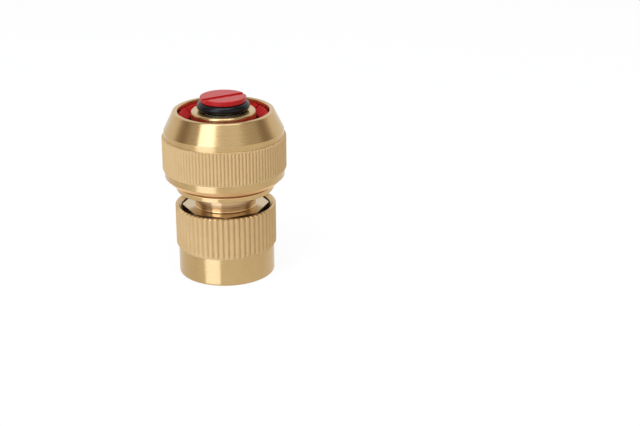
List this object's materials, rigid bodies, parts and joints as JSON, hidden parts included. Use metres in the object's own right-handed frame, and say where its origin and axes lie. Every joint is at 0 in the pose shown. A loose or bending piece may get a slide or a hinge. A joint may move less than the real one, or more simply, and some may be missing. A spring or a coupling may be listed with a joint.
{
  "type": "quick coupling",
  "caption": "Brass garden hose quick coupling with a water stop: knurled sliding collar over a ring of claws, sprung centre sleeve with a red valve cap, and a knurled hose nut.",
  "frame": {"origin": "on the axis of the coupling, in the plane of the hose nut's foot, which is the face it stands on", "axes": "+Z along the axis from the hose end to the socket end, -Y to the viewer in the picture, +X to the right"},
  "size_m": [0.034, 0.034, 0.0503],
  "materials": {
    "brass": "satin turned",
    "red_plastic": "moulded, glossy",
    "black_rubber": "smooth rubber",
    "spring_steel": "bright drawn wire",
    "white_plastic": "moulded, matt"
  },
  "bodies": {
    "nut": {"hose_nut": "brass"},
    "grip": {"clamping_ring": "white_plastic"},
    "body": {"tail_body": "brass", "head_body": "brass", "joint_seal": "black_rubber", "stem_spider": "brass", "stem_nut": "spring_steel", "valve_stem": "spring_steel", "valve_washer": "white_plastic", "valve_o_ring": "black_rubber", "valve_cap": "red_plastic", "claw_ring": "red_plastic", "claw_clip": "spring_steel", "sleeve_spring": "spring_steel", "collar_spring": "spring_steel"},
    "sleeve": {"valve_sleeve": "brass", "sleeve_o_ring": "black_rubber"},
    "collar": {"collar": "brass", "collar_snap_ring": "spring_steel", "spring_seat": "spring_steel"}
  },
  "joints": [
    {"name": "nut_turn", "type": "hinge", "parent": "nut", "child": "grip", "pos_m": [0, 0, 0], "axis": [0, 0, 1], "range_deg": [0, 1080]},
    {"name": "thread_travel", "type": "slide", "parent": "grip", "child": "body", "axis": [0, 0, 1], "range_m": [0, 0.0045]},
    {"name": "sleeve_slide", "type": "slide", "parent": "body", "child": "sleeve", "axis": [0, 0, -1], "range_m": [0, 0.0037], "stiffness_N_per_m": 900, "springref_m": -0.003, "deforming": ["sleeve_spring"]},
    {"name": "collar_slide", "type": "slide", "parent": "body", "child": "collar", "axis": [0, 0, -1], "range_m": [0, 0.0027], "stiffness_N_per_m": 1500, "springref_m": -0.003, "deforming": ["collar_spring"]}
  ],
  "couplings": [
    {"joint": "nut_turn", "follows": "thread_travel", "rad_per_m": 4188.8}
  ]
}
